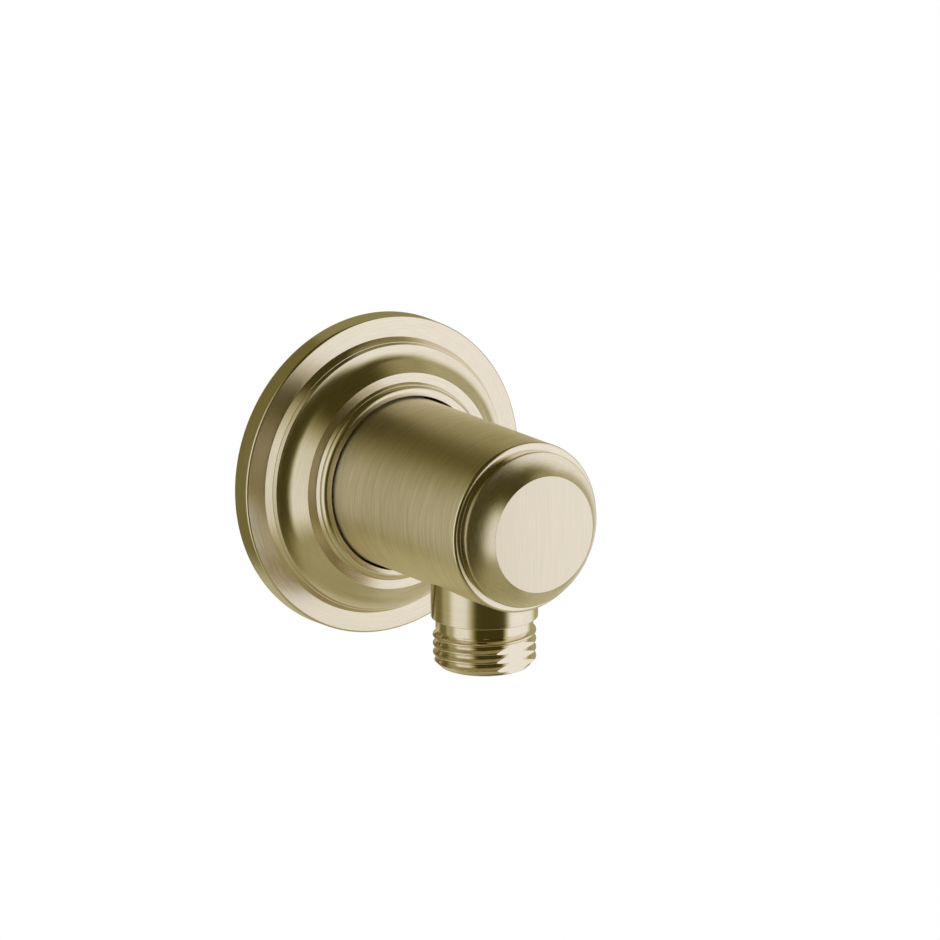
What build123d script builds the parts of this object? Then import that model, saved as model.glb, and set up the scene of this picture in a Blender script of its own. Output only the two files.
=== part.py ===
from build123d import *
from math import radians, sqrt, tan
import os

# Wall outlet elbow for a hand shower: body, escutcheon, outlet nipple and check valve.
# The origin is the centre of the escutcheon's back, on the wall. The body runs out from the
# wall along -Y, the outlet points down along -Z, and all lengths are millimetres.

os.makedirs("parts", exist_ok=True)

# Pipe thread of the inlet and the outlet, nominal half inch
thread_major_radius = 10.4775
thread_minor_radius = 9.3155

# Elbow body
body_tail_radius = 18.0
body_nose_radius = 17.25
body_length = 55.5
tail_setback = 1.0
nose_edge = 0.6
nose_ring_width = 1.5
nose_step_height = 2.0
nose_step_bevel = 0.2
nose_cove_rise = 4.1
nose_cove_bend = 8.2
nose_flat_radius = 11.7
inlet_thread_length = 15.0
inlet_chamfer = 0.8
waterway_radius = 6.0
drill_point_angle = 118.0

# Escutcheon, from the hole outwards
escutcheon_gap = 0.56
lip_width = 0.85
lip_rounding = 1.2
lip_ledge = 0.08
lip_foot_height = 0.7
lip_foot_slope = 0.42
band_width = 1.93
cove_width = 5.2
cove_rise = 3.9
cove_scoop_width = 2.98
cove_scoop_rise = 1.54
cove_scoop_bend = 5.1
step_height = 0.75
step_slope = 0.35
step_ledge = 0.1
step_foot_height = 1.55
step_foot_slope = 0.85
rim_ring_width = 4.35
rim_height = 4.45
rim_rounding = 0.45
rim_draft = 0.2
escutcheon_wall = 1.6
collar_wall = 3.6
collar_length = 9.4
o_ring_width = 2.4
o_ring_depth = 1.3
o_ring_inset = 3.0
o_ring_side_gap = 0.15
o_ring_rounding = 0.6

# Outlet nipple
outlet_reach = 40.7
nipple_collar_radius = 10.85
nipple_collar_length = 8.91
nipple_shank_radius = 8.95
pocket_depth = 1.9
pocket_clearance = 0.05
washer_thickness = 0.8
shoulder_land = 0.8
relief_length = 2.6
relief_radius = 9.9
thread_length = 7.55
thread_end_chamfer = 1.4
outlet_bore_radius = 6.0
outlet_bore_chamfer = 0.5
end_clearance = 0.2

# Check valve cartridge
cartridge_radius = 7.4
cartridge_clearance = 0.1
cartridge_length = 14.0
cartridge_wall = 1.6
seat_thickness = 3.0
seat_opening_radius = 4.2
seat_overlap = 1.0
cartridge_ring_width = 1.4
cartridge_ring_depth = 0.9
cartridge_ring_rounding = 0.35
seal_thickness = 1.0
seal_clip = 0.35
poppet_disc_thickness = 1.0
poppet_nose_radius = 3.3
poppet_nose_height = 1.2
stem_radius = 1.2
stem_tail = 0.6
stem_clearance = 0.05
guide_flange = 1.0
guide_spigot = 1.5
guide_wall = 0.9
guide_hub_radius = 3.0
guide_arm_width = 1.4
guide_arms = 3
guide_clearance = 0.05
spring_wire_radius = 0.25
spring_turns = 5
spring_stem_gap = 0.75

# Sections: radius and height across the body's axis, and down the outlet's axis
body_section = Plane.XY
body_axis = Axis.Y
outlet_section = Plane(origin=(0, -outlet_reach, 0), x_dir=(1, 0, 0), z_dir=(0, -1, 0))
outlet_axis = Axis((0, -outlet_reach, 0), (0, 0, 1))


def body_radius(distance):
    """Outside radius of the tapered body at a distance from the wall."""
    share = (distance - tail_setback) / (body_length - tail_setback)
    return body_tail_radius + share * (body_nose_radius - body_tail_radius)


# Levels along the body, as distances from the wall
rim_face = rim_height
step_foot_face = rim_face + step_foot_height
step_face = step_foot_face + step_height
band_face = step_face + cove_rise
lip_foot_face = band_face + lip_foot_height
lip_face = lip_foot_face + lip_rounding
nose_step_face = body_length + nose_step_height
nose_face = nose_step_face + nose_cove_rise

# Radii of the escutcheon, from the hole outwards
hole_radius = body_radius(lip_face) + escutcheon_gap
lip_radius = hole_radius + lip_width + lip_rounding
lip_foot_radius = lip_radius + lip_ledge + lip_foot_slope
band_radius = lip_foot_radius + band_width
cove_radius = band_radius + cove_width
step_radius = cove_radius + step_slope
step_foot_radius = step_radius + step_ledge + step_foot_slope
rim_face_radius = step_foot_radius + rim_ring_width
rim_radius = rim_face_radius + rim_draft
collar_radius = hole_radius + collar_wall

# Radii of the nose
nose_step_radius = body_nose_radius - nose_ring_width

# Levels down the outlet, below the body's axis
pocket_radius = nipple_collar_radius + pocket_clearance
body_flank = sqrt(body_radius(outlet_reach) ** 2 - pocket_radius**2)
pocket_floor = body_flank - pocket_depth
shoulder = waterway_radius + shoulder_land
shank_top = shoulder + end_clearance
collar_top = pocket_floor + washer_thickness
collar_edge = collar_top + nipple_collar_length
thread_start = collar_edge + relief_length
outlet_end = thread_start + thread_length
cartridge_top = shank_top + end_clearance
cartridge_end = cartridge_top + cartridge_length
housing_end = cartridge_end - guide_flange
seat_face = cartridge_top + seat_thickness
disc_top = seat_face + seal_thickness
disc_end = disc_top + poppet_disc_thickness
spigot_top = housing_end - guide_spigot
cartridge_bore = cartridge_radius - cartridge_wall
nipple_bore = cartridge_radius + cartridge_clearance
disc_radius = seat_opening_radius + seat_overlap

# Elbow body, turned outside with a step and a cove at the nose, drilled from the wall side
with BuildPart() as elbow_body:
    with BuildSketch(body_section):
        with BuildLine():
            edge_start = (body_radius(body_length - nose_edge), nose_edge - body_length)
            edge_end = (body_nose_radius - nose_edge, -body_length)
            Polyline(
                (0, -nose_face),
                (0, -tail_setback),
                (body_tail_radius, -tail_setback),
                edge_start,
            )
            TangentArc(edge_start, edge_end, tangent=(0, -1))
            Polyline(
                edge_end,
                (nose_step_radius, -body_length),
                (nose_step_radius, nose_step_bevel - nose_step_face),
                (nose_step_radius - nose_step_bevel, -nose_step_face),
            )
            RadiusArc(
                (nose_step_radius - nose_step_bevel, -nose_step_face),
                (nose_flat_radius, -nose_face),
                -nose_cove_bend,
            )
            Line((nose_flat_radius, -nose_face), (0, -nose_face))
        make_face()
    revolve(axis=body_axis)
    with BuildSketch(body_section):
        thread_end = tail_setback + inlet_thread_length
        waterway_end = outlet_reach + waterway_radius
        drill_tip = waterway_end + waterway_radius / tan(radians(drill_point_angle / 2))
        with BuildLine():
            Polyline(
                (0, -tail_setback),
                (thread_minor_radius + inlet_chamfer, -tail_setback),
                (thread_minor_radius, -tail_setback - inlet_chamfer),
                (thread_minor_radius, -thread_end),
                (waterway_radius, -thread_end),
                (waterway_radius, -waterway_end),
                (0, -drill_tip),
                close=True,
            )
        make_face()
    revolve(axis=body_axis, mode=Mode.SUBTRACT)
    with BuildSketch(outlet_section):
        with BuildLine():
            Polyline(
                (0, 0),
                (waterway_radius, 0),
                (waterway_radius, -shoulder),
                (nipple_shank_radius, -shoulder),
                (nipple_shank_radius, -pocket_floor),
                (pocket_radius, -pocket_floor),
                (pocket_radius, -collar_edge),
                (0, -collar_edge),
                close=True,
            )
        make_face()
    revolve(axis=outlet_axis, mode=Mode.SUBTRACT)
elbow_body.part.label = "elbow_body"
export_step(elbow_body.part, "parts/elbow_body.step")

# Escutcheon, a stepped and coved shell with a hollow back and a collar round the body
with BuildPart() as escutcheon:
    with BuildSketch(body_section):
        with BuildLine():
            Line((rim_radius, 0), (rim_face_radius, rim_rounding - rim_face))
            RadiusArc(
                (rim_face_radius, rim_rounding - rim_face),
                (rim_face_radius - rim_rounding, -rim_face),
                rim_rounding,
            )
            Polyline(
                (rim_face_radius - rim_rounding, -rim_face),
                (step_foot_radius, -rim_face),
                (step_radius + step_ledge, -step_foot_face),
                (step_radius, -step_foot_face),
                (cove_radius, -step_face),
            )
            scoop_end = (cove_radius - cove_scoop_width, -step_face - cove_scoop_rise)
            RadiusArc((cove_radius, -step_face), scoop_end, -cove_scoop_bend)
            Line(scoop_end, (band_radius, -band_face))
            Polyline(
                (band_radius, -band_face),
                (lip_foot_radius, -band_face),
                (lip_radius + lip_ledge, -lip_foot_face),
                (lip_radius, -lip_foot_face),
            )
            RadiusArc(
                (lip_radius, -lip_foot_face),
                (lip_radius - lip_rounding, -lip_face),
                lip_rounding,
            )
            Polyline(
                (lip_radius - lip_rounding, -lip_face),
                (hole_radius, -lip_face),
                (hole_radius, collar_length - lip_face),
                (collar_radius, collar_length - lip_face),
                (collar_radius, escutcheon_wall - step_face),
                (cove_radius - escutcheon_wall, escutcheon_wall - step_face),
                (cove_radius - escutcheon_wall, escutcheon_wall - rim_face),
                (rim_radius - escutcheon_wall, escutcheon_wall - rim_face),
                (rim_radius - escutcheon_wall, 0),
                (rim_radius, 0),
            )
        make_face()
    revolve(axis=body_axis)
    with BuildSketch(body_section):
        groove_front = o_ring_inset - lip_face
        with Locations((hole_radius + o_ring_depth / 2, groove_front + o_ring_width / 2)):
            Rectangle(o_ring_depth, o_ring_width)
    revolve(axis=body_axis, mode=Mode.SUBTRACT)
escutcheon.part.label = "escutcheon"
export_step(escutcheon.part, "parts/escutcheon.step")

# Rubber ring in the escutcheon's groove, squeezed on to the tapered body
with BuildPart() as escutcheon_o_ring:
    with BuildSketch(body_section) as ring_section:
        ring_front = lip_face - o_ring_inset - o_ring_side_gap
        ring_back = lip_face - o_ring_inset - o_ring_width + o_ring_side_gap
        with BuildLine():
            Polyline(
                (body_radius(ring_front), -ring_front),
                (hole_radius + o_ring_depth, -ring_front),
                (hole_radius + o_ring_depth, -ring_back),
                (body_radius(ring_back), -ring_back),
                close=True,
            )
        make_face()
        fillet(ring_section.vertices(), o_ring_rounding)
    revolve(axis=body_axis)
escutcheon_o_ring.part.label = "escutcheon_o_ring"
export_step(escutcheon_o_ring.part, "parts/escutcheon_o_ring.step")

# Outlet nipple, screwed up into the body, with the hose thread as a plain cylinder of its crests
with BuildPart() as outlet_nipple:
    with BuildSketch(outlet_section):
        with BuildLine():
            Polyline(
                (nipple_bore, -shank_top),
                (nipple_shank_radius, -shank_top),
                (nipple_shank_radius, -collar_top),
                (nipple_collar_radius, -collar_top),
                (nipple_collar_radius, -collar_edge),
                (relief_radius, -collar_edge),
                (relief_radius, -thread_start),
                (thread_major_radius, -thread_start),
                (thread_major_radius, thread_end_chamfer - outlet_end),
                (thread_major_radius - thread_end_chamfer, -outlet_end),
                (outlet_bore_radius + outlet_bore_chamfer, -outlet_end),
                (outlet_bore_radius, outlet_bore_chamfer - outlet_end),
                (outlet_bore_radius, -cartridge_end),
                (nipple_bore, -cartridge_end),
                close=True,
            )
        make_face()
    revolve(axis=outlet_axis)
outlet_nipple.part.label = "outlet_nipple"
export_step(outlet_nipple.part, "parts/outlet_nipple.step")

# Flat washer that seals the nipple's collar to the floor of the body's pocket
with BuildPart() as nipple_washer:
    with BuildSketch(Plane((0, -outlet_reach, -collar_top))):
        Circle(nipple_collar_radius)
        Circle(nipple_shank_radius, mode=Mode.SUBTRACT)
    extrude(amount=washer_thickness)
nipple_washer.part.label = "nipple_washer"
export_step(nipple_washer.part, "parts/nipple_washer.step")

# Check valve housing, with the valve seat at its upper end and a groove outside for its ring
with BuildPart() as check_valve_housing:
    ring_groove_top = cartridge_top + (seat_thickness - cartridge_ring_width) / 2
    ring_groove_end = ring_groove_top + cartridge_ring_width
    ring_groove_radius = cartridge_radius - cartridge_ring_depth
    with BuildSketch(outlet_section):
        with BuildLine():
            Polyline(
                (seat_opening_radius, -cartridge_top),
                (cartridge_radius, -cartridge_top),
                (cartridge_radius, -ring_groove_top),
                (ring_groove_radius, -ring_groove_top),
                (ring_groove_radius, -ring_groove_end),
                (cartridge_radius, -ring_groove_end),
                (cartridge_radius, -housing_end),
                (cartridge_bore, -housing_end),
                (cartridge_bore, -seat_face),
                (seat_opening_radius, -seat_face),
                close=True,
            )
        make_face()
    revolve(axis=outlet_axis)
check_valve_housing.part.label = "check_valve_housing"
export_step(check_valve_housing.part, "parts/check_valve_housing.step")

# Rubber ring between the housing and the nipple's bore
with BuildPart() as check_valve_o_ring:
    with BuildSketch(outlet_section) as ring_section:
        ring_middle = cartridge_top + seat_thickness / 2
        with Locations(((ring_groove_radius + nipple_bore) / 2, -ring_middle)):
            Rectangle(nipple_bore - ring_groove_radius, cartridge_ring_width)
        fillet(ring_section.vertices(), cartridge_ring_rounding)
    revolve(axis=outlet_axis)
check_valve_o_ring.part.label = "check_valve_o_ring"
export_step(check_valve_o_ring.part, "parts/check_valve_o_ring.step")

# Poppet, a disc with a domed nose in the seat and a stem that slides in the guide
with BuildPart() as check_valve_poppet:
    stem_end = cartridge_end + stem_tail
    seal_top = seat_face - seal_clip
    with BuildSketch(outlet_section):
        with BuildLine():
            Polyline(
                (0, poppet_nose_height - seal_top),
                (0, -stem_end),
                (stem_radius, -stem_end),
                (stem_radius, -disc_end),
                (disc_radius, -disc_end),
                (disc_radius, -disc_top),
                (poppet_nose_radius - seal_clip, -disc_top),
                (poppet_nose_radius - seal_clip, -seat_face),
                (poppet_nose_radius, -seat_face),
                (poppet_nose_radius, -seal_top),
            )
            TangentArc(
                (0, poppet_nose_height - seal_top),
                (poppet_nose_radius, -seal_top),
                tangent=(1, 0),
            )
        make_face()
    revolve(axis=outlet_axis)
check_valve_poppet.part.label = "check_valve_poppet"
export_step(check_valve_poppet.part, "parts/check_valve_poppet.step")

# Rubber seal held on the poppet, flat against the seat
with BuildPart() as poppet_seal:
    with BuildSketch(Plane((0, -outlet_reach, -disc_top))):
        Circle(disc_radius)
        Circle(poppet_nose_radius - seal_clip, mode=Mode.SUBTRACT)
    extrude(amount=seal_thickness)
poppet_seal.part.label = "poppet_seal"
export_step(poppet_seal.part, "parts/poppet_seal.step")

# Guide that closes the housing, with a hub for the stem on arms across the flow
with BuildPart() as check_valve_guide:
    spigot_radius = cartridge_bore - guide_clearance
    ring_inside = spigot_radius - guide_wall
    arm_length = spigot_radius - guide_wall / 2
    with BuildSketch(Plane((0, -outlet_reach, -cartridge_end))):
        Circle(cartridge_radius)
        Circle(ring_inside, mode=Mode.SUBTRACT)
    extrude(amount=guide_flange)
    with BuildSketch(Plane((0, -outlet_reach, -housing_end))):
        Circle(spigot_radius)
        Circle(ring_inside, mode=Mode.SUBTRACT)
    extrude(amount=guide_spigot)
    with BuildSketch(Plane((0, -outlet_reach, -cartridge_end))):
        Circle(guide_hub_radius)
        with PolarLocations(0, guide_arms, start_angle=90):
            Rectangle(arm_length, guide_arm_width, align=(Align.MIN, Align.CENTER))
        Circle(stem_radius + stem_clearance, mode=Mode.SUBTRACT)
    extrude(amount=guide_flange + guide_spigot)
check_valve_guide.part.label = "check_valve_guide"
export_step(check_valve_guide.part, "parts/check_valve_guide.step")

# Return spring, wound round the stem between the guide's hub and the poppet's disc
with BuildPart() as check_valve_spring:
    coil_radius = stem_radius + spring_stem_gap + spring_wire_radius
    coil_start = spigot_top - spring_wire_radius
    coil_height = spigot_top - disc_end - 2 * spring_wire_radius
    with BuildLine() as coil:
        Helix(
            pitch=coil_height / spring_turns,
            height=coil_height,
            radius=coil_radius,
            center=(0, -outlet_reach, -coil_start),
        )
    with BuildSketch(Plane(coil.line @ 0, z_dir=coil.line % 0)):
        Circle(spring_wire_radius)
    sweep(is_frenet=True)
check_valve_spring.part.label = "check_valve_spring"
export_step(check_valve_spring.part, "parts/check_valve_spring.step")
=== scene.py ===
from math import atan2, cos, pi, radians, sin, sqrt, tan

import bmesh
import bpy
from mathutils import Matrix, Vector


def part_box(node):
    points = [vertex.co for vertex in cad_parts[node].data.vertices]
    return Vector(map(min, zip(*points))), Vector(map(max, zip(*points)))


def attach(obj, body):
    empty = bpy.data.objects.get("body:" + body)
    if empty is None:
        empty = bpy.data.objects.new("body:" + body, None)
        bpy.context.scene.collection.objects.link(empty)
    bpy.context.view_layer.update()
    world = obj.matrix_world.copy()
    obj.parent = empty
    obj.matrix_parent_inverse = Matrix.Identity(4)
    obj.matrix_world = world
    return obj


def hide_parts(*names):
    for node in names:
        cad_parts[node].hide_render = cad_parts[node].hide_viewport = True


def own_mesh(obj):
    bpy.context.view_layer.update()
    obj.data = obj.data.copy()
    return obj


# Wall outlet elbow in brushed brass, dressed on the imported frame. The sizes of the pieces and of the
# camera are millimetres, turned into metres where they are used. The stage's sizes are metres.

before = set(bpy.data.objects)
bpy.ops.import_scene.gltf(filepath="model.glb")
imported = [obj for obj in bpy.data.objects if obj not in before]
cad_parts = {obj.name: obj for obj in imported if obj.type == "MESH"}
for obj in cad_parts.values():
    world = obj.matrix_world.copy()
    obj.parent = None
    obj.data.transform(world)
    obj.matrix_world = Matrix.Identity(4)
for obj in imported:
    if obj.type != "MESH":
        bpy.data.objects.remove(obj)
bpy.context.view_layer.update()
MM = 0.001

# Pipe thread of half an inch, on the hose outlet and in the inlet
thread_pitch = 1.814
thread_major_radius = 10.4775
thread_minor_radius = 9.3155
thread_flank_angle = radians(27.5)
thread_rounding = 0.249
thread_run_out_slope = 0.9
outlet_crest_level = -27.9
inlet_crest_level = -2.2

# Elbow body, distances from the wall
body_tail_radius = 18.0
body_nose_radius = 17.25
body_length = 55.5
tail_setback = 1.0
tail_rounding = 0.3
nose_edge = 0.6
nose_step_radius = 15.75
nose_step_face = 57.5
nose_step_bevel = 0.2
nose_cove_bend = 8.2
nose_flat_radius = 11.7
nose_flat_rounding = 0.04
nose_face = -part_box("elbow_body")[0][1] / MM
inlet_thread_length = 15.0
inlet_chamfer = 0.8
waterway_radius = 6.0
drill_point_angle = radians(118)

# Escutcheon, radii from the hole outwards and faces from the wall outwards
hole_radius = 18.4
lip_radius = 20.45
lip_ledge = 0.08
lip_foot_radius = 20.95
band_radius = 22.88
scoop_end_radius = 25.1
cove_radius = 28.08
step_radius = 28.43
step_ledge = 0.1
step_foot_radius = 29.38
rim_face_radius = 33.73
rim_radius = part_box("escutcheon")[1][0] / MM
rim_inset = 0.02
rim_back_bevel = 0.1
rim_face = 4.45
step_foot_face = 6.0
step_face = 6.75
scoop_end_face = 8.29
scoop_bend = 5.1
band_face = 10.65
lip_foot_face = 11.35
lip_face = -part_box("escutcheon")[0][1] / MM
escutcheon_wall = 1.6
hole_collar_wall = 3.6
hole_collar_back = 3.15

# Roundings of the escutcheon
rim_rounding = 0.45
rim_back_rounding = 0.15
step_foot_rounding = 0.08
step_rounding = 0.04
cove_rounding = 0.08
lip_foot_rounding = 0.06
lip_rounding = 1.2
ledge_rounding = 0.03
hollow_rounding = 0.4

# Outlet nipple, levels down the outlet
outlet_reach = 40.7
collar_radius = 10.85
collar_length = 8.91
collar_rounding = 0.15
shank_radius = 8.95
nipple_bore_radius = 7.5
nipple_bore_margin = 0.5
outlet_bore_radius = 6.0
bore_chamfer = 0.5
relief_radius = 9.9
relief_length = 2.6
thread_end_chamfer = 1.4
thread_end_rounding = 0.15
thread_flat_depth = 1.33
thread_flat_length = 6.2
thread_flat_turn = radians(9)
shank_top = -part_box("outlet_nipple")[1][2] / MM
outlet_end = -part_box("outlet_nipple")[0][2] / MM
collar_top = -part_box("nipple_washer")[0][2] / MM
collar_edge = collar_top + collar_length
cartridge_end = -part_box("check_valve_guide")[0][2] / MM

# Pocket in the elbow body that takes the nipple, levels down the outlet
pocket_shoulder = 6.8
pocket_floor = -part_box("nipple_washer")[1][2] / MM
pocket_clearance = 0.05

# Check valve spring, which shortens as the poppet opens
spring_wire_radius = 0.25
spring_turns = 5
spring_bottom = Vector(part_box("check_valve_spring")[0]) / MM
spring_top = Vector(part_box("check_valve_spring")[1]) / MM

# Edges of the turned pieces are broken, and their inner corners rounded, by this much
edge_break = 0.1
inner_rounding = 0.05

# Fineness of the meshes
turn_segments = 256
thread_rows_per_pitch = 22
rounding_steps = 4
escutcheon_bend_steps = 12
nose_cove_steps = 20
spring_steps_per_turn = 48
spring_wire_sides = 14
sharp_angle = radians(38)

# Share of an edge that one rounding may take up, and what counts as close to a limit or to an axis
rounding_share = 0.45
slack = 0.01
on_axis = 1e-6


def bend(start, end, radius, steps):
    """Corners on the arc from start to end, which bows to the right, or left for a negative radius."""
    chord = Vector(end) - Vector(start)
    middle = (Vector(start) + Vector(end)) / 2
    across = Vector((-chord.y, chord.x)).normalized()
    reach = sqrt(radius**2 - (chord.length / 2) ** 2)
    centre = middle + across * (reach if radius > 0 else -reach)
    first = Vector(start) - centre
    last = Vector(end) - centre
    sweep = atan2(first.cross(last), first.dot(last))
    points = []
    for step in range(1, steps):
        turned = Matrix.Rotation(sweep * step / steps, 2) @ first
        points.append((*(centre + turned), 0))
    return points


def rounded(corners):
    """Outline through (radius, level, rounding) corners, each turned with an arc of that radius."""
    outline = []
    for index, (radius, level, rounding) in enumerate(corners):
        here = Vector((radius, level))
        if rounding == 0 or index in (0, len(corners) - 1):
            outline.append(here)
            continue
        before = Vector(corners[index - 1][:2]) - here
        after = Vector(corners[index + 1][:2]) - here
        half_angle = before.angle(after) / 2
        back = rounding / tan(half_angle)
        back = min(back, rounding_share * before.length, rounding_share * after.length)
        start = here + before.normalized() * back
        end = here + after.normalized() * back
        arc_radius = back * tan(half_angle)
        side = 1 if before.cross(after) < 0 else -1
        arc = bend(start, end, side * arc_radius, rounding_steps)
        outline += [start, *(Vector(point[:2]) for point in arc), end]
    return outline


def thread_depth(offset):
    """Depth below the crest of a rounded pipe thread, at an axial distance from a crest."""
    away = abs((offset / thread_pitch + 0.5) % 1 - 0.5) * thread_pitch
    arc_end = thread_rounding * cos(thread_flank_angle)
    arc_drop = thread_rounding * (1 - sin(thread_flank_angle))
    full_depth = thread_major_radius - thread_minor_radius
    if away < arc_end:
        return thread_rounding - sqrt(thread_rounding**2 - away**2)
    if away > thread_pitch / 2 - arc_end:
        from_root = thread_pitch / 2 - away
        return full_depth - thread_rounding + sqrt(thread_rounding**2 - from_root**2)
    return arc_drop + (away - arc_end) / tan(thread_flank_angle)


def levels(start, end):
    """Levels close enough together to show a thread, from start to end, both left out."""
    count = int(abs(end - start) / thread_pitch * thread_rows_per_pitch)
    return [start + (end - start) * step / count for step in range(1, count)]


def bridge(bm, ring, following):
    """Faces between two closed rings of points, of which one may be a single point."""
    count = max(len(ring), len(following))
    for index in range(count):
        onward = (index + 1) % count
        if len(ring) == 1:
            bm.faces.new((ring[0], following[onward], following[index]))
        elif len(following) == 1:
            bm.faces.new((ring[index], ring[onward], following[0]))
        else:
            bm.faces.new((ring[index], ring[onward], following[onward], following[index]))


def add_object(name, bm):
    """Object in the scene with the mesh that was built."""
    mesh = bpy.data.meshes.new(name)
    bm.to_mesh(mesh)
    bm.free()
    made = bpy.data.objects.new(name, mesh)
    bpy.context.collection.objects.link(made)
    return made


def turn(name, outline, place, cut=None, closed=False):
    """Piece turned from an outline; cut(radius, level, angle) gives the radius left by a thread."""
    bm = bmesh.new()
    rings = []
    for radius, level in outline:
        if radius < on_axis:
            rings.append([bm.verts.new(place(0, level, 0) * MM)])
            continue
        ring = []
        for segment in range(turn_segments):
            angle = 2 * pi * segment / turn_segments
            left = cut(radius, level, angle) if cut else radius
            ring.append(bm.verts.new(place(left, level, angle) * MM))
        rings.append(ring)
    for ring, following in zip(rings, rings[1:]):
        bridge(bm, ring, following)
    if closed:
        bridge(bm, rings[-1], rings[0])
    bmesh.ops.recalc_face_normals(bm, faces=bm.faces)
    return add_object(name, bm)


def about_body(radius, level, angle):
    """Point at a radius about the body's axis and a distance out from the wall."""
    return Vector((radius * cos(angle), -level, radius * sin(angle)))


def about_outlet(radius, level, angle):
    """Point at a radius about the outlet's axis and a distance below the body's axis."""
    return Vector((radius * cos(angle), radius * sin(angle) - outlet_reach, -level))


def smooth(piece):
    """Smooth shading that keeps flat faces flat and cut edges crisp."""
    piece.data.shade_smooth()
    piece.data.set_sharp_from_angle(angle=sharp_angle)
    weighted = piece.modifiers.new("flat_faces", "WEIGHTED_NORMAL")
    weighted.keep_sharp = True


def cut_away(piece, cutter):
    """Subtract a cutter from a piece and remove the cutter."""
    modifier = piece.modifiers.new("cut", "BOOLEAN")
    modifier.operation = "DIFFERENCE"
    modifier.solver = "EXACT"
    modifier.object = cutter
    with bpy.context.temp_override(object=piece, active_object=piece):
        bpy.ops.object.modifier_apply(modifier="cut")
    bpy.data.objects.remove(cutter)


# Elbow body
def cut_inlet_thread(radius, level, angle):
    """Radius that the inlet thread leaves, which cuts only the inlet's bore and its chamfer."""
    in_bore = thread_minor_radius - slack < radius <= thread_minor_radius + inlet_chamfer + slack
    if not in_bore or level > tail_setback + inlet_thread_length - slack:
        return radius
    turned_level = level - inlet_crest_level + thread_pitch * angle / (2 * pi)
    return max(radius, thread_major_radius - thread_depth(turned_level))


def make_elbow_body():
    """Body turned about its own axis, with the nipple's pocket cut from below."""
    thread_start = tail_setback + inlet_chamfer
    thread_end = tail_setback + inlet_thread_length
    waterway_end = outlet_reach + waterway_radius
    drill_tip = waterway_end + waterway_radius / tan(drill_point_angle / 2)
    step_shoulder = (nose_step_radius - nose_step_bevel, nose_step_face)
    cove_end = (nose_flat_radius, nose_face)
    corners = [
        (0, nose_face, 0),
        (*cove_end, nose_flat_rounding),
        *reversed(bend(step_shoulder, cove_end, -nose_cove_bend, nose_cove_steps)),
        (*step_shoulder, edge_break),
        (nose_step_radius, nose_step_face - nose_step_bevel, edge_break),
        (nose_step_radius, body_length, inner_rounding),
        (body_nose_radius, body_length, nose_edge),
        (body_tail_radius, tail_setback, tail_rounding),
        (thread_minor_radius + inlet_chamfer, tail_setback, edge_break),
        (thread_minor_radius, thread_start, 0),
        *((thread_minor_radius, level, 0) for level in levels(thread_start, thread_end)),
        (thread_minor_radius, thread_end, 0),
        (waterway_radius, thread_end, edge_break),
        (waterway_radius, waterway_end, edge_break),
        (0, drill_tip, 0),
    ]
    body = turn("elbow_body_turned", rounded(corners), about_body, cut_inlet_thread)
    pocket = [
        (0, 0),
        (waterway_radius, 0),
        (waterway_radius, pocket_shoulder),
        (shank_radius, pocket_shoulder),
        (shank_radius, pocket_floor),
        (collar_radius + pocket_clearance, pocket_floor),
        (collar_radius + pocket_clearance, collar_edge),
        (0, collar_edge),
    ]
    cut_away(body, turn("outlet_pocket", pocket, about_outlet))
    return body


# Escutcheon
def make_escutcheon():
    """Stepped and coved flange with a hollow back and a collar round its hole."""
    scoop_start = (cove_radius, step_face)
    scoop_end = (scoop_end_radius, scoop_end_face)
    lip_foot = (lip_radius, lip_foot_face)
    lip_top = (lip_radius - lip_rounding, lip_face)
    collar_outer = hole_radius + hole_collar_wall
    wall = escutcheon_wall
    corners = [
        (rim_radius - rim_inset, rim_back_bevel, 0),
        (rim_face_radius, rim_face, rim_rounding),
        (step_foot_radius, rim_face, step_foot_rounding),
        (step_radius + step_ledge, step_foot_face, step_rounding),
        (step_radius, step_foot_face, ledge_rounding),
        (*scoop_start, cove_rounding),
        *bend(scoop_start, scoop_end, -scoop_bend, escutcheon_bend_steps),
        (*scoop_end, 0),
        (band_radius, band_face, edge_break),
        (lip_foot_radius, band_face, lip_foot_rounding),
        (lip_radius + lip_ledge, lip_foot_face, ledge_rounding),
        (*lip_foot, ledge_rounding),
        *bend(lip_foot, lip_top, lip_rounding, escutcheon_bend_steps),
        (*lip_top, 0),
        (hole_radius, lip_face, edge_break),
        (hole_radius, hole_collar_back, edge_break),
        (collar_outer, hole_collar_back, edge_break),
        (collar_outer, step_face - wall, hollow_rounding),
        (cove_radius - wall, step_face - wall, hollow_rounding),
        (cove_radius - wall, rim_face - wall, hollow_rounding),
        (rim_radius - wall, rim_face - wall, hollow_rounding),
        (rim_radius - wall, 0, rim_back_rounding),
        (rim_radius - rim_back_bevel, 0, 0),
    ]
    return turn("escutcheon_turned", rounded(corners), about_body, closed=True)


# Outlet nipple with its hose thread
def cut_outlet_thread(radius, level, angle):
    """Radius that the hose thread leaves, which runs out into the relief and spares collar and bore."""
    in_bore = radius < nipple_bore_radius + nipple_bore_margin
    if in_bore or level < collar_edge + inner_rounding:
        return radius
    run_out = max(0, collar_edge + relief_length - level) * thread_run_out_slope
    turned_level = -level - outlet_crest_level - thread_pitch * angle / (2 * pi)
    return min(radius, thread_major_radius - thread_depth(turned_level) + run_out)


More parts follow.
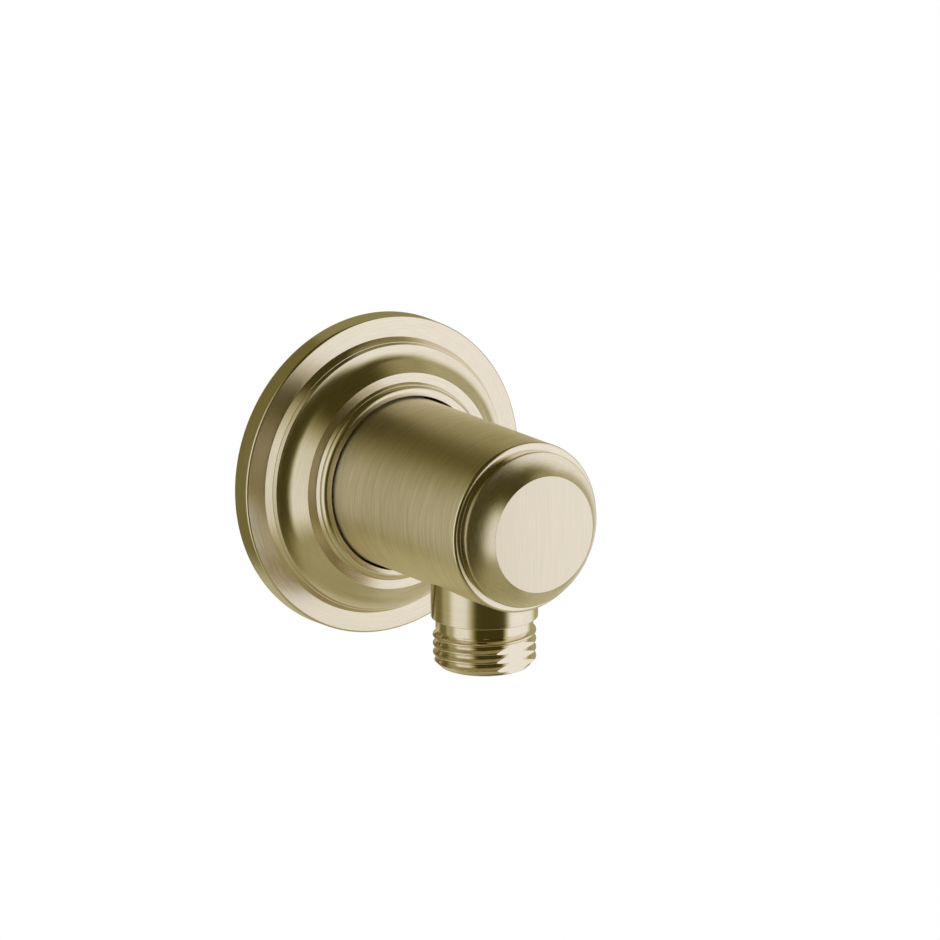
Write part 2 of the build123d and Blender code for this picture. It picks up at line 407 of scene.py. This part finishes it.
def make_flat_cutter():
    """Block that mills the flat across the hose thread; only its inner, upper quarter cuts."""
    bm = bmesh.new()
    bmesh.ops.create_cube(bm, size=1)
    size = Vector((2 * thread_major_radius, 2 * thread_flat_depth, 2 * thread_flat_length))
    middle = Vector((0, -thread_major_radius, 0))
    turned = Matrix.Rotation(thread_flat_turn, 4, "Z")
    end = Matrix.Translation(Vector((0, -outlet_reach, -outlet_end)))
    place = end @ turned @ Matrix.Translation(middle) @ Matrix.Diagonal((*size, 1))
    bmesh.ops.transform(bm, matrix=Matrix.Scale(MM, 4) @ place, verts=bm.verts)
    return add_object("flat_cutter", bm)


def make_outlet_nipple():
    """Nipple turned about the outlet's axis, with the flat milled across its thread."""
    thread_start = collar_edge + relief_length
    chamfer_start = outlet_end - thread_end_chamfer
    end_radius = thread_major_radius - thread_end_chamfer
    corners = [
        (nipple_bore_radius, shank_top, edge_break),
        (shank_radius, shank_top, edge_break),
        (shank_radius, collar_top, edge_break),
        (collar_radius, collar_top, edge_break),
        (collar_radius, collar_edge, collar_rounding),
        (relief_radius, collar_edge, inner_rounding),
        *((relief_radius, level, 0) for level in levels(collar_edge, thread_start)),
        (relief_radius, thread_start, 0),
        *((thread_major_radius, level, 0) for level in levels(thread_start, chamfer_start)),
        (thread_major_radius, chamfer_start, 0),
    ]
    for level in levels(chamfer_start, outlet_end):
        corners.append((thread_major_radius - (level - chamfer_start), level, 0))
    corners += [
        (end_radius, outlet_end, thread_end_rounding),
        (outlet_bore_radius + bore_chamfer, outlet_end, edge_break),
        (outlet_bore_radius, outlet_end - bore_chamfer, edge_break),
        (outlet_bore_radius, cartridge_end, edge_break),
        (nipple_bore_radius, cartridge_end, 0),
    ]
    nipple = turn("outlet_nipple_turned", rounded(corners), about_outlet, cut_outlet_thread, closed=True)
    cut_away(nipple, make_flat_cutter())
    return nipple


# Check valve spring
def make_spring():
    """Round wire wound about the outlet's axis, between the ends of the spring's solid."""
    coil_radius = (spring_top.x - spring_bottom.x) / 2 - spring_wire_radius
    start = spring_bottom.z + spring_wire_radius
    rise = spring_top.z - spring_wire_radius - start
    slope = rise / (2 * pi * coil_radius * spring_turns)
    steps = spring_turns * spring_steps_per_turn
    bm = bmesh.new()
    rings = []
    for step in range(steps + 1):
        angle = 2 * pi * step / spring_steps_per_turn
        outward = Vector((cos(angle), sin(angle), 0))
        centre = outward * coil_radius + Vector((0, -outlet_reach, start + rise * step / steps))
        forward = Vector((-sin(angle), cos(angle), slope))
        upward = forward.normalized().cross(outward)
        ring = []
        for side in range(spring_wire_sides):
            turned = 2 * pi * side / spring_wire_sides
            offset = outward * cos(turned) + upward * sin(turned)
            ring.append(bm.verts.new((centre + offset * spring_wire_radius) * MM))
        rings.append(ring)
    for ring, following in zip(rings, rings[1:]):
        bridge(bm, ring, following)
    bm.faces.new(rings[0])
    bm.faces.new(rings[-1])
    bmesh.ops.recalc_face_normals(bm, faces=bm.faces)
    return add_object("check_valve_spring_wound", bm)


# Materials
brass_colour = (0.80, 0.725, 0.60)
# The same brass painted lighter for the elbow body: painted light that brightens the body
body_colour_painted_lighter = (0.92, 0.83, 0.66)
noise_detail = 3
noise_roughness = 0.6
noise_range = (0.3, 0.7)
bump_depth = 0.02 * MM
quarter_turn = 0.25
white = (1, 1, 1, 1)
black = (0, 0, 0, 1)


class Nodes:
    """Small helper that adds and joins the nodes of one material."""

    def __init__(self, name):
        self.material = bpy.data.materials.new(name)
        self.material.use_nodes = True
        self.tree = self.material.node_tree
        self.shader = self.tree.nodes["Principled BSDF"]

    def add(self, kind, **settings):
        """New node of a kind, with its settings."""
        node = self.tree.nodes.new(kind)
        for key, value in settings.items():
            setattr(node, key, value)
        return node

    def join(self, source, target):
        """Link from an output to an input."""
        self.tree.links.new(source, target)

    def maths(self, operation, first, second):
        """Result of an operation on two outputs or numbers."""
        node = self.add("ShaderNodeMath", operation=operation)
        for socket, value in zip(node.inputs, (first, second)):
            if isinstance(value, (int, float)):
                socket.default_value = value
            else:
                self.join(value, socket)
        return node.outputs[0]

    def length(self, first, second):
        """Length of the line whose two parts are given."""
        squares = [self.maths("MULTIPLY", part, part) for part in (first, second)]
        return self.maths("SQRT", self.maths("ADD", *squares), 0)

    def position(self):
        """The x, y and z of a point on the object, in metres."""
        place = self.add("ShaderNodeTexCoord").outputs["Object"]
        parts = self.add("ShaderNodeSeparateXYZ")
        self.join(place, parts.inputs[0])
        return parts.outputs

    def map_range(self, source, source_range, result_range, kind="LINEAR"):
        """A source's range carried over to the result's range, and held at its ends."""
        node = self.add("ShaderNodeMapRange", interpolation_type=kind)
        self.join(source, node.inputs["Value"])
        for socket, value in zip(node.inputs[1:5], (*source_range, *result_range)):
            socket.default_value = value
        return node.outputs[0]

    def noise(self, **settings):
        """Noise node with the detail that every surface here has."""
        node = self.add("ShaderNodeTexNoise", **settings)
        node.inputs["Scale"].default_value = 1
        node.inputs["Detail"].default_value = noise_detail
        node.inputs["Roughness"].default_value = noise_roughness
        return node


def ring_noise(nodes, axis, streak_length, streak_width, radius):
    """Noise drawn out round an axis ("Y" of the body or "Z" of the outlet), as turning leaves it."""
    x, y, z = nodes.position()
    if axis == "Y":
        other = z
        along = y
    else:
        other = nodes.maths("ADD", y, outlet_reach * MM)
        along = z
    across = nodes.length(x, other)
    stretch = radius / streak_length
    vector = nodes.add("ShaderNodeCombineXYZ")
    for part, socket in zip((x, other), vector.inputs):
        nodes.join(nodes.maths("MULTIPLY", nodes.maths("DIVIDE", part, across), stretch), socket)
    nodes.join(nodes.maths("DIVIDE", across, streak_width * MM), vector.inputs[2])
    noise = nodes.noise(noise_dimensions="4D")
    nodes.join(vector.outputs[0], noise.inputs["Vector"])
    nodes.join(nodes.maths("DIVIDE", along, streak_width * MM), noise.inputs["W"])
    return noise.outputs[0]


def line_noise(nodes, grain):
    """Noise whose grain has a size in millimetres along x, y and z."""
    place = nodes.add("ShaderNodeTexCoord").outputs["Object"]
    scaled = nodes.add("ShaderNodeMapping")
    scaled.inputs["Scale"].default_value = [1 / (size * MM) for size in grain]
    nodes.join(place, scaled.inputs["Vector"])
    noise = nodes.noise()
    nodes.join(scaled.outputs[0], noise.inputs["Vector"])
    return noise.outputs[0]


def vary(nodes, noise, low_colour, high_colour, roughness, relief):
    """Let a noise vary the colour, the roughness and the height of a surface."""
    shader = nodes.shader
    blend = nodes.add("ShaderNodeMix", data_type="RGBA")
    blend.inputs["A"].default_value = (*low_colour, 1)
    blend.inputs["B"].default_value = (*high_colour, 1)
    nodes.join(nodes.map_range(noise, noise_range, (0, 1)), blend.inputs["Factor"])
    nodes.join(blend.outputs["Result"], shader.inputs["Base Color"])
    nodes.join(nodes.map_range(noise, noise_range, roughness), shader.inputs["Roughness"])
    bump = nodes.add("ShaderNodeBump")
    bump.inputs["Strength"].default_value = relief
    bump.inputs["Distance"].default_value = bump_depth
    nodes.join(noise, bump.inputs["Height"])
    nodes.join(bump.outputs[0], shader.inputs["Normal"])


def brass(name, colour, make_noise, roughness, anisotropy, tangent_axis, rotation, tone, relief):
    """Brass whose brush or turning lines vary its colour, roughness and surface."""
    nodes = Nodes(name)
    shader = nodes.shader
    shader.inputs["Metallic"].default_value = 1
    shader.inputs["Anisotropic"].default_value = anisotropy
    shader.inputs["Anisotropic Rotation"].default_value = rotation
    darker = [part * (1 - tone) for part in colour]
    lighter = [part * (1 + tone) for part in colour]
    vary(nodes, make_noise(nodes), darker, lighter, roughness, relief)
    tangent = nodes.add("ShaderNodeTangent", direction_type="RADIAL", axis=tangent_axis)
    nodes.join(tangent.outputs[0], shader.inputs["Tangent"])
    return nodes.material


def ringed_brass(name, colour, axis, streak_length, streak_width, radius, **finish):
    """Brass with lines that run round an axis, at a size that is right at one radius."""
    return brass(
        name, colour, lambda nodes: ring_noise(nodes, axis, streak_length, streak_width, radius),
        tangent_axis=axis, rotation=quarter_turn, **finish)


def plain(name, low_colour, high_colour, roughness, grain, relief, metallic=0.0):
    """Moulded, rubber or wire surface with a fine even grain."""
    nodes = Nodes(name)
    nodes.shader.inputs["Metallic"].default_value = metallic
    vary(nodes, line_noise(nodes, (grain, grain, grain)), low_colour, high_colour, roughness, relief)
    return nodes.material


# The body's brass is painted lighter than the other brass, as painted light on the body
body_brass = ringed_brass(
    "brushed_brass_body", body_colour_painted_lighter, axis="Y", streak_length=7, streak_width=0.24, radius=17,
    roughness=(0.37, 0.46), anisotropy=0.8, tone=0.14, relief=0.3)
edge_brass = ringed_brass(
    "satin_brass_edge", brass_colour, axis="Y", streak_length=3, streak_width=0.12, radius=16,
    roughness=(0.14, 0.18), anisotropy=0.3, tone=0.05, relief=0.06)
nose_brass = ringed_brass(
    "satin_brass_nose", brass_colour, axis="Y", streak_length=1.2, streak_width=0.22, radius=14,
    roughness=(0.27, 0.36), anisotropy=0.2, tone=0.09, relief=0.25)
face_brass = brass(
    "brushed_brass_face", brass_colour, lambda nodes: line_noise(nodes, grain=(0.3, 5, 11)),
    roughness=(0.22, 0.27), anisotropy=0.5, tangent_axis="Z", rotation=0, tone=0.05, relief=0.1)
escutcheon_brass = ringed_brass(
    "brushed_brass_escutcheon", brass_colour, axis="Y", streak_length=4, streak_width=0.2, radius=28,
    roughness=(0.18, 0.24), anisotropy=0.4, tone=0.07, relief=0.15)
collar_brass = ringed_brass(
    "satin_brass_collar", brass_colour, axis="Z", streak_length=12, streak_width=0.14, radius=10,
    roughness=(0.17, 0.21), anisotropy=0.3, tone=0.05, relief=0.08)
turned_brass = ringed_brass(
    "turned_brass", brass_colour, axis="Z", streak_length=12, streak_width=0.2, radius=10,
    roughness=(0.06, 0.09), anisotropy=0.2, tone=0.03, relief=0.02)
black_rubber = plain(
    "black_rubber", low_colour=(0.015, 0.015, 0.015), high_colour=(0.03, 0.03, 0.03),
    roughness=(0.5, 0.7), grain=0.3, relief=0.2)
valve_plastic = plain(
    "valve_plastic", low_colour=(0.74, 0.74, 0.70), high_colour=(0.82, 0.82, 0.78),
    roughness=(0.3, 0.42), grain=0.4, relief=0.1)
spring_steel = plain(
    "spring_steel", low_colour=(0.5, 0.5, 0.5), high_colour=(0.66, 0.65, 0.63),
    roughness=(0.2, 0.3), grain=0.2, relief=0.05, metallic=1.0)

# Pieces, with the nose's finishes starting this far behind its face and its step
nose_face_margin = 0.02
nose_step_margin = 0.3


def elbow_finish(face):
    """Brass of a face of the elbow body, by its distance from the wall."""
    distance = -face.center.y / MM
    if distance > nose_face - nose_face_margin:
        return face_brass
    if distance > nose_step_face - nose_step_margin:
        return nose_brass
    if distance > body_length - nose_edge:
        return edge_brass
    return body_brass


def nipple_finish(face):
    """Brass of a face of the nipple: satin down to the collar's edge and bright below it."""
    return collar_brass if -face.center.z / MM < collar_edge else turned_brass


def give_finishes(piece, materials, finish):
    """Give a piece its materials, and each of its faces the one that finish(face) names."""
    for material in materials:
        piece.data.materials.append(material)
    for face in piece.data.polygons:
        face.material_index = materials.index(finish(face))


elbow_body = make_elbow_body()
give_finishes(elbow_body, (body_brass, nose_brass, face_brass, edge_brass), elbow_finish)
escutcheon = make_escutcheon()
escutcheon.data.materials.append(escutcheon_brass)
outlet_nipple = make_outlet_nipple()
give_finishes(outlet_nipple, (turned_brass, collar_brass), nipple_finish)
spring = make_spring()
spring.data.materials.append(spring_steel)

dressed = (
    (elbow_body, "elbow_body", "brushed_brass"),
    (escutcheon, "escutcheon", "brushed_brass"),
    (outlet_nipple, "outlet_nipple", "turned_brass"),
    (spring, "check_valve_spring", "spring_steel"),
)
for piece, node, slot in dressed:
    smooth(piece)
    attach(piece, "elbow")
    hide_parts(node)
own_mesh(spring)

kept_nodes = {
    "escutcheon_o_ring": black_rubber,
    "nipple_washer": black_rubber,
    "check_valve_housing": valve_plastic,
    "check_valve_o_ring": black_rubber,
    "check_valve_poppet": valve_plastic,
    "poppet_seal": black_rubber,
    "check_valve_guide": valve_plastic,
}
for node, material in kept_nodes.items():
    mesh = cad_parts[node].data
    mesh.materials.clear()
    mesh.materials.append(material)

# Soft tent that only reflections see, with two bright windows in walls that are warmer where darker
tent_radius = 0.175
tent_centre = (0, -0.036, 0)
tent_segments = 96
tent_rings = 48
tent_dark = 0.05
green_shading = 1.08
blue_shading = 1.75


class Tent(Nodes):
    """Tent wall whose brightness is laid on in soft-edged patches, by azimuth and elevation."""

    def __init__(self, name):
        super().__init__(name)
        x, y, z = self.position()
        forward = self.maths("MULTIPLY", y, -1)
        self.azimuth = self.angle(x, forward)
        self.elevation = self.angle(z, self.length(x, y))
        self.shade = self.add("ShaderNodeValue").outputs[0]
        self.shade.default_value = tent_dark

    def angle(self, sideways, ahead):
        """Angle in degrees of a direction that goes so far sideways and so far ahead."""
        return self.maths("MULTIPLY", self.maths("ARCTAN2", sideways, ahead), 180 / pi)

    def step(self, angle, edge, softness):
        """Soft step from 0 to 1 where an angle passes an edge."""
        return self.map_range(angle, (edge - softness, edge + softness), (0, 1), "SMOOTHSTEP")

    def patch(self, name, brightness, left, right, bottom, top):
        """Lay a brightness between four edges, each an angle in degrees with its softness."""
        columns = self.maths("SUBTRACT", self.step(self.azimuth, *left), self.step(self.azimuth, *right))
        rows = self.maths("SUBTRACT", self.step(self.elevation, *bottom), self.step(self.elevation, *top))
        mixed = self.add("ShaderNodeMix", data_type="FLOAT", label=name)
        self.join(self.maths("MULTIPLY", columns, rows), mixed.inputs["Factor"])
        self.join(self.shade, mixed.inputs["A"])
        mixed.inputs["B"].default_value = brightness
        self.shade = mixed.outputs["Result"]

    def finish(self):
        """Colour the brightness, warmer in its shadows, and let the wall shine with it."""
        colour = self.add("ShaderNodeCombineColor")
        self.join(self.shade, colour.inputs["Red"])
        self.join(self.maths("POWER", self.shade, green_shading), colour.inputs["Green"])
        self.join(self.maths("POWER", self.shade, blue_shading), colour.inputs["Blue"])
        self.shader.inputs["Base Color"].default_value = black
        self.shader.inputs["Roughness"].default_value = 1
        self.shader.inputs["Emission Strength"].default_value = 1
        self.join(colour.outputs[0], self.shader.inputs["Emission Color"])
        return self.material


# Edges past the end of the scale, for patches that reach right round or all the way down
low_end = (-200, 1)
high_end = (200, 1)

tent = Tent("soft_tent")
tent.patch("floor", 0.36, left=low_end, right=high_end, bottom=low_end, top=(-40, 14))
tent.patch("right floor", 0.52, left=(12, 25), right=high_end, bottom=(-66, 12), top=(-36, 12))
tent.patch("high right", 0.36, left=(80, 15), right=(170, 15), bottom=(46, 10), top=(75, 10))
tent.patch("left back floor", 0.45, left=low_end, right=(-100, 20), bottom=(-66, 10), top=(-34, 10))
tent.patch("left back wall", 0.17, left=low_end, right=(-134, 8), bottom=(-34, 10), top=(50, 10))
tent.patch("right back wall", 0.28, left=(130, 10), right=high_end, bottom=(-26, 10), top=(50, 10))
tent.patch("back window, right", 0.50, left=(162, 8), right=high_end, bottom=(-50, 15), top=(22, 12))
tent.patch("back window, left", 0.50, left=low_end, right=(-162, 8), bottom=(-50, 15), top=(22, 12))
tent.patch("left side", 0.42, left=(-133, 8), right=(-95, 1), bottom=(-38, 8), top=(50, 10))
tent.patch("right side", 0.42, left=(60, 1), right=(135, 10), bottom=(-38, 8), top=(46, 10))
tent.patch("right window, far", 0.95, left=(60, 1), right=(90, 12), bottom=(-40, 10), top=(41, 13))
tent.patch("right window", 1.0, left=(15, 9), right=(66, 12), bottom=(-40, 10), top=(51, 13))
tent.patch("left window", 0.90, left=(-107, 9), right=(-62, 14), bottom=(-38, 14), top=(36, 18))

tent_sphere = bmesh.new()
bmesh.ops.create_uvsphere(tent_sphere, u_segments=tent_segments, v_segments=tent_rings, radius=tent_radius)
tent_wall = add_object("soft_tent", tent_sphere)
tent_wall.data.materials.append(tent.finish())
tent_wall.location = tent_centre
for ray in ("camera", "diffuse", "transmission", "volume_scatter", "shadow"):
    setattr(tent_wall, "visible_" + ray, False)

# Floor, well below the object, and a world, both white to the camera
floor_level = -1.7
floor_half_width = 12.0
floor_colour = (0.8, 0.8, 0.8, 1)
floor_roughness = 0.9
world_strength = 0.6


def seen_directly(tree):
    """Light path factor that is 1 for what the camera sees, straight or in metal or glass."""
    path = tree.nodes.new("ShaderNodeLightPath")
    total = path.outputs["Is Camera Ray"]
    for output in ("Is Glossy Ray", "Is Transmission Ray"):
        most = tree.nodes.new("ShaderNodeMath")
        most.operation = "MAXIMUM"
        tree.links.new(total, most.inputs[0])
        tree.links.new(path.outputs[output], most.inputs[1])
        total = most.outputs[0]
    return total


def show(tree, unseen, seen, output):
    """Give an output one shader for what is seen directly and another for the light it casts."""
    mixed = tree.nodes.new("ShaderNodeMixShader")
    tree.links.new(seen_directly(tree), mixed.inputs[0])
    tree.links.new(unseen.outputs[0], mixed.inputs[1])
    tree.links.new(seen.outputs[0], mixed.inputs[2])
    tree.links.new(mixed.outputs[0], tree.nodes[output].inputs["Surface"])


def white_floor():
    """Pale floor that glows white where it is seen."""
    nodes = Nodes("pale_floor")
    nodes.shader.inputs["Base Color"].default_value = floor_colour
    nodes.shader.inputs["Roughness"].default_value = floor_roughness
    show(nodes.tree, nodes.shader, nodes.add("ShaderNodeEmission"), "Material Output")
    return nodes.material


def make_floor():
    """Level square."""
    corners = [(-1, -1), (1, -1), (1, 1), (-1, 1)]
    mesh = bpy.data.meshes.new("floor")
    mesh.from_pydata(
        [(x * floor_half_width, y * floor_half_width, floor_level) for x, y in corners], [], [(0, 1, 2, 3)])
    mesh.materials.append(white_floor())
    made = bpy.data.objects.new("floor", mesh)
    bpy.context.collection.objects.link(made)
    return made


def make_world():
    """World that lights softly and is white where it is seen."""
    world = bpy.data.worlds.new("studio")
    bpy.context.scene.world = world
    world.use_nodes = True
    tree = world.node_tree
    soft = tree.nodes["Background"]
    backdrop = tree.nodes.new("ShaderNodeBackground")
    for shader, strength in ((soft, world_strength), (backdrop, 1)):
        shader.inputs["Color"].default_value = white
        shader.inputs["Strength"].default_value = strength
    show(tree, soft, backdrop, "World Output")


floor = make_floor()
make_world()

# Camera at the photograph's viewing angle
camera_azimuth = radians(-34.083)
camera_elevation = radians(14.3)
camera_roll = radians(-0.191)
camera_distance = 758.612
camera_aim_right = 19.998
camera_aim_up = 0.142
focal_length_pixels = 3622.684
picture_width_pixels = 940
sensor_width = 36


def make_camera():
    """Camera that looks back along its direction from the object, moved off to one side."""
    back = Vector((sin(camera_azimuth) * cos(camera_elevation),
                   -cos(camera_azimuth) * cos(camera_elevation), sin(camera_elevation)))
    level_right = Vector((cos(camera_azimuth), sin(camera_azimuth), 0))
    level_up = back.cross(level_right)
    right = level_right * cos(camera_roll) + level_up * sin(camera_roll)
    up = level_up * cos(camera_roll) - level_right * sin(camera_roll)
    position = level_right * camera_aim_right + level_up * camera_aim_up + back * camera_distance
    lens = bpy.data.cameras.new("camera")
    lens.sensor_width = sensor_width
    lens.lens = sensor_width * focal_length_pixels / picture_width_pixels
    camera = bpy.data.objects.new("camera", lens)
    camera.matrix_world = Matrix((right, up, back)).transposed().to_4x4()
    camera.matrix_world.translation = position * MM
    bpy.context.collection.objects.link(camera)
    return camera


bpy.context.scene.camera = make_camera()
bpy.context.scene.view_settings.view_transform = "Standard"

# Soft lamps in the directions of the tent's two windows
lamp_distance = 2.0


def soft_lamp(name, azimuth, elevation, width, height):
    """Area lamp as bright as the white background, facing the object and unseen in reflections."""
    data = bpy.data.lights.new(name, "AREA")
    data.shape = "RECTANGLE"
    data.size = width
    data.size_y = height
    data.energy = pi * width * height
    lamp = bpy.data.objects.new(name, data)
    flat = lamp_distance * cos(radians(elevation))
    lamp.location = (flat * sin(radians(azimuth)), -flat * cos(radians(azimuth)),
                     lamp_distance * sin(radians(elevation)))
    lamp.rotation_euler = Vector(lamp.location).to_track_quat("Z", "Y").to_euler()
    lamp.visible_camera = False
    lamp.visible_glossy = False
    bpy.context.collection.objects.link(lamp)


soft_lamp("left_lamp", azimuth=-83, elevation=5, width=1.3, height=2.6)
soft_lamp("right_lamp", azimuth=43, elevation=0, width=2.0, height=2.0)
